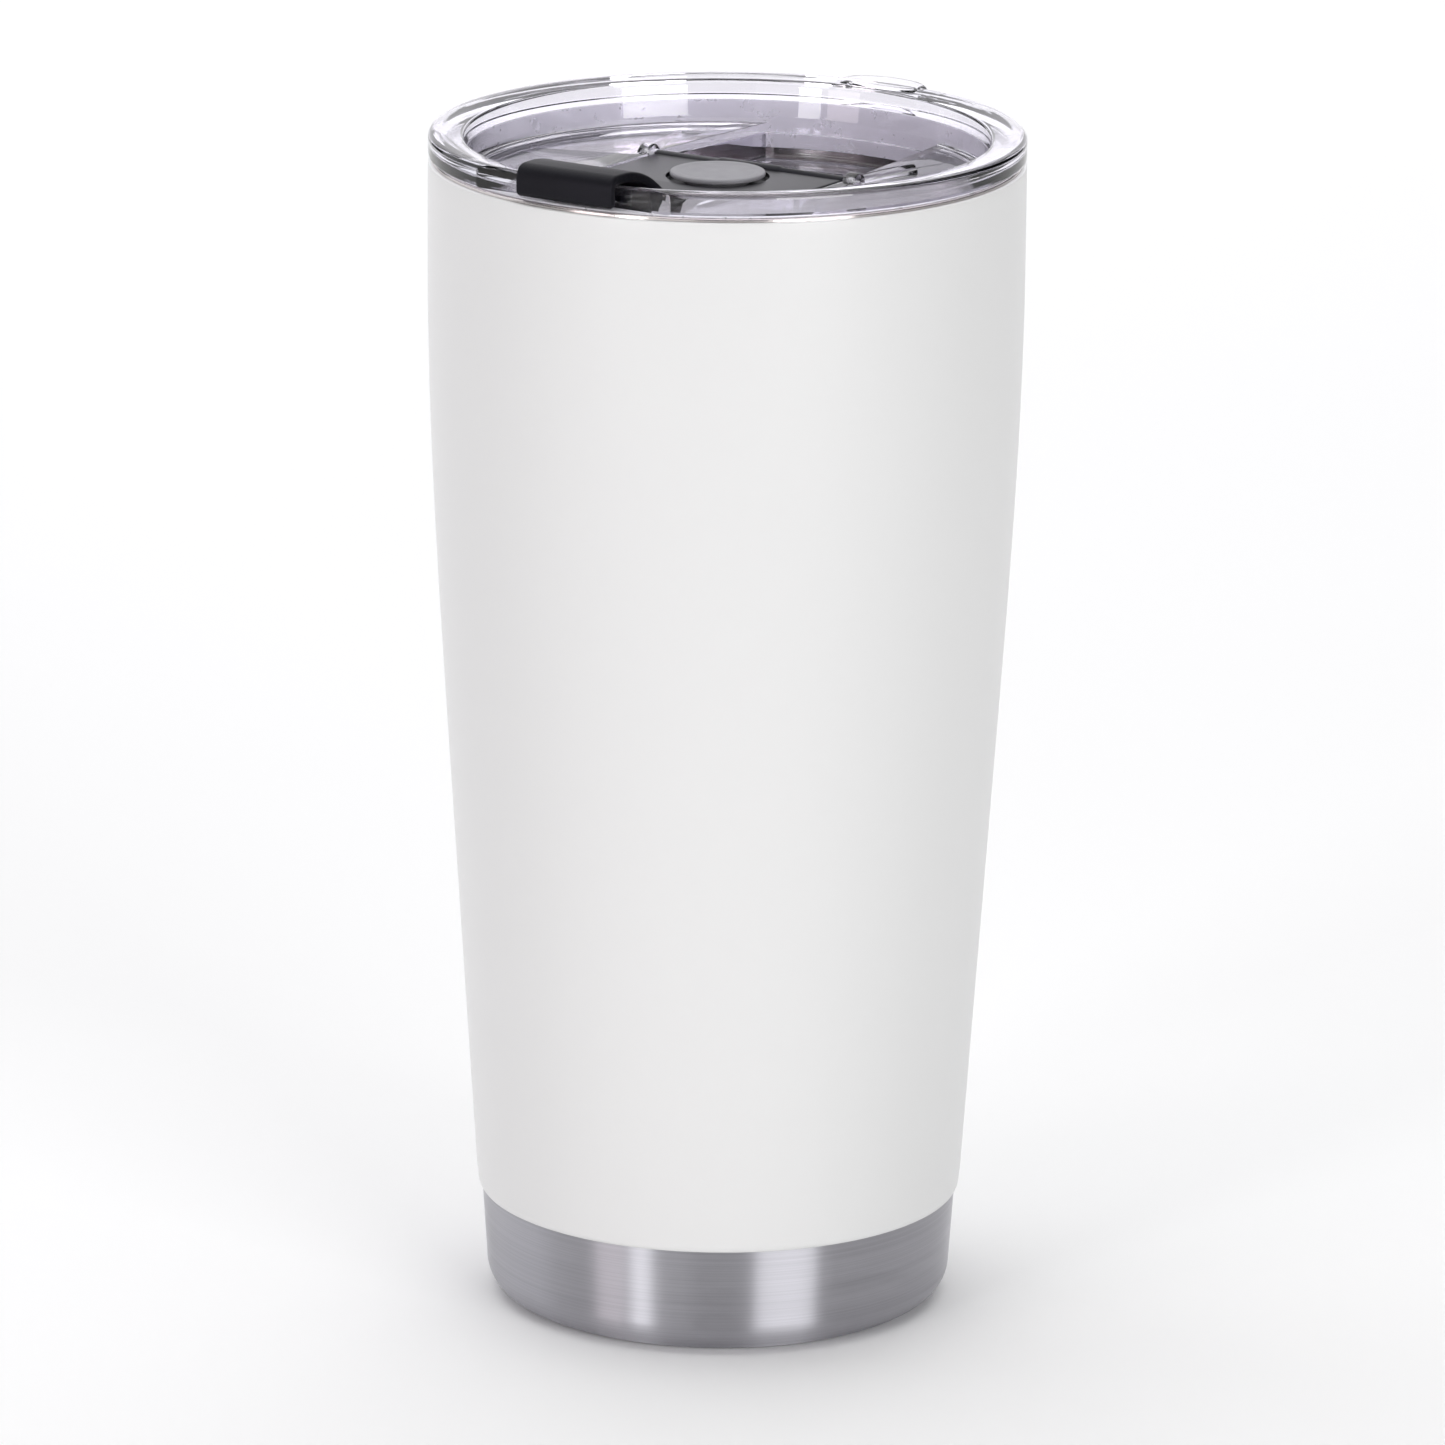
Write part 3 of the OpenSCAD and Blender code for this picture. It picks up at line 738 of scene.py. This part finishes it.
def flap_piece():
    flap = flap_blade()
    barrel = rod("barrel", (0, hinge_y, hinge_z), barrel_r, plate_half_w, 0.25, 48)
    combine(flap, [barrel], "UNION")
    recess = lathe("recess", [(0, finger_z), (finger_r - 0.3, finger_z), (finger_r, finger_z + 0.3),
                              (finger_r, plate_top_z + 6), (0, plate_top_z + 6)], 96, (0, stopper_y))
    combine(flap, [recess], "DIFFERENCE")
    knuckle = rod("knuckle", (0, hinge_y, hinge_z), knuckle_r, knuckle_half_w, 1.1, 64)
    w, front_y, rear_y = carrier_half_w, sip_y - carrier_half_l, sip_y + carrier_half_l
    carrier = prism("carrier", fillet([(-w, front_y), (w, front_y), (w, rear_y), (-w, rear_y)], 0.6),
                    seal_top_z, carrier_top_z)
    combine(flap, [knuckle, carrier], "UNION")
    hole_r = stem_r + 0.15
    hole = lathe("hole", [(0, plate_z - 1), (hole_r, plate_z - 1), (hole_r, plate_top_z + 1),
                          (0, plate_top_z + 1)], 96, (0, stopper_y))
    bore = rod("bore", (0, hinge_y, hinge_z), pin_r + 0.05, plate_half_w + 2, 0.1, 48)
    combine(flap, [hole, bore], "DIFFERENCE")
    return smooth(flap, 40)


def stopper_piece():
    head_z = finger_z + 0.04
    lip_z = stopper_top_z - 0.7
    neck_r = stopper_r - 2.2
    points = [(0, stopper_tip_z), (stem_r - 0.8, stopper_tip_z), (stem_r - 0.4, stopper_tip_z + 0.4),
              (stem_r, pocket_z + 1.4), (stem_r, head_z), (neck_r, head_z), (neck_r, lip_z),
              (stopper_r, lip_z), (stopper_r, stopper_top_z), (stopper_r - 1.0, stopper_top_z),
              (stopper_r - 1.6, stopper_top_z - 0.1), (0, stopper_top_z - 0.1)]
    radii = [0, 0.2, 0.2, 0.3, 0.2, 0.2, 0.3, 0.2, 0.35, 0.4, 0.6, 0]
    return smooth(lathe("stopper_plug", fillet(points, radii, 6), 128, (0, stopper_y)))


def seal_piece():
    seat = pocket_z + 0.1
    pad = prism("sip_pad", slot_outline(2 * seal_half_w, 6.2, sip_y), seat, seal_top_z - EPS, 0.4, 0.3)
    plug = prism("plug", slot_outline(11.4, 4.0, sip_y), seat - 0.9, seat + 0.2, 0.3)
    return smooth(combine(pad, [plug], "UNION"))


finish_piece(flap_piece(), "flap", "flap", black_plastic, "flap")
finish_piece(seal_piece(), "flap", "seal", seal_rubber, "sip_seal")
finish_piece(stopper_piece(), "stopper", "stopper", stopper_rubber, "straw_stopper")


# ---------------------------------------------------------------- hidden pieces that keep their CAD shape
def dress(node, material):
    obj = nodes[node]
    obj.data.materials.clear()
    obj.data.materials.append(material)


dress("copper_foil", steel_material("copper_foil_metal", (0.62, 0.30, 0.19), (0.75, 0.40, 0.26), (0.25, 0.4),
                                    (60, 60, 900)))
dress("getter", soft_material("getter_powder", (0.10, 0.10, 0.11), (0.17, 0.17, 0.18), (0.8, 0.95),
                              2500, 0.8))
dress("getter_tray", cap_steel)
dress("port_seal", soft_material("solder_glass", (0.16, 0.18, 0.17), (0.22, 0.24, 0.23), (0.12, 0.25),
                                 300, 0.1))


# ---------------------------------------------------------------- floor, light and camera
def floor_material():
    material, tree, shader = new_material("studio_floor")
    tree.links.new(tinted(tree, noise(tree, (3, 3, 3), 2), (0.955, 0.955, 0.955), (0.965, 0.965, 0.965)),
                   shader.inputs["Base Color"])
    shader.inputs["Roughness"].default_value = 0.9
    shader.inputs["Specular IOR Level"].default_value = 0.1
    return material


camera_azimuth = math.radians(33)
to_camera = Vector((math.sin(camera_azimuth), -math.cos(camera_azimuth), 0))
to_right = Vector((math.cos(camera_azimuth), math.sin(camera_azimuth), 0))


def stage_floor():
    half = 6.0
    bm = bmesh.new()
    bmesh.ops.create_grid(bm, x_segments=8, y_segments=8, size=half)
    floor = make_object("studio_floor", bm, 1.0)
    floor.data.materials.append(floor_material())


def softbox(name, azimuth, elevation, distance, width, height, brightness, colour=(1, 1, 1)):
    """Rectangular light at an azimuth from the camera's direction, towards the right of the view."""
    aim = Vector((0, 0, 0.1))
    light = bpy.data.lights.new(name, "AREA")
    light.shape = "RECTANGLE"
    light.size = width
    light.size_y = height
    light.energy = brightness * math.pi * width * height
    light.color = colour
    obj = bpy.data.objects.new(name, light)
    a, e = math.radians(azimuth), math.radians(elevation)
    flat = to_camera * math.cos(a) + to_right * math.sin(a)
    place = aim + (flat * math.cos(e) + Vector((0, 0, 1)) * math.sin(e)) * distance
    obj.location = place
    obj.rotation_euler = (aim - place).to_track_quat("-Z", "Y").to_euler()
    collection.objects.link(obj)


def add_world():
    world = bpy.data.worlds.new("studio")
    world.use_nodes = True
    background = world.node_tree.nodes["Background"]
    background.inputs["Color"].default_value = (0.97, 0.97, 1.0, 1)
    background.inputs["Strength"].default_value = 0.06
    bpy.context.scene.world = world


def add_camera():
    """Long lens in front and to the right of the tumbler, fitted to the photo's outlines."""
    distance, height = 1.419, 0.4748
    pitch, roll = 0.2666, 0.0089
    camera = bpy.data.cameras.new("camera")
    camera.sensor_width = 36.0
    camera.lens = 247.4408
    camera.clip_start = 0.05
    camera.clip_end = 40
    obj = bpy.data.objects.new("camera", camera)
    forward = -to_camera * math.cos(pitch) - Vector((0, 0, math.sin(pitch)))
    up = to_right.cross(forward)
    x_axis = to_right * math.cos(roll) + up * math.sin(roll)
    y_axis = up * math.cos(roll) - to_right * math.sin(roll)
    rotation = Matrix((x_axis, y_axis, -forward)).transposed()
    place = to_camera * distance + Vector((0, 0, height))
    obj.matrix_world = Matrix.Translation(place) @ rotation.to_4x4()
    collection.objects.link(obj)
    bpy.context.scene.camera = obj


stage_floor()
add_world()
add_camera()
softbox("key_right", 33, 11, 2.0, 1.06, 1.0, 6.2)
softbox("key_left", -37, 11, 2.0, 0.36, 1.0, 7.6)
softbox("glow_left", -53, 11, 2.05, 0.55, 1.0, 3.2, (1.0, 0.90, 0.92))
softbox("glow_front", -22, 11, 2.05, 0.7, 1.0, 0.6)
softbox("fill_left", -115, 22, 2.2, 2.0, 1.6, 0.95, (0.95, 0.96, 1.0))
softbox("top", 180, 76, 2.0, 3.0, 3.0, 1.65)
softbox("back", 180, 18, 2.3, 2.4, 1.7, 1.25, (0.97, 0.96, 1.0))
bpy.context.scene.view_settings.view_transform = "Standard"
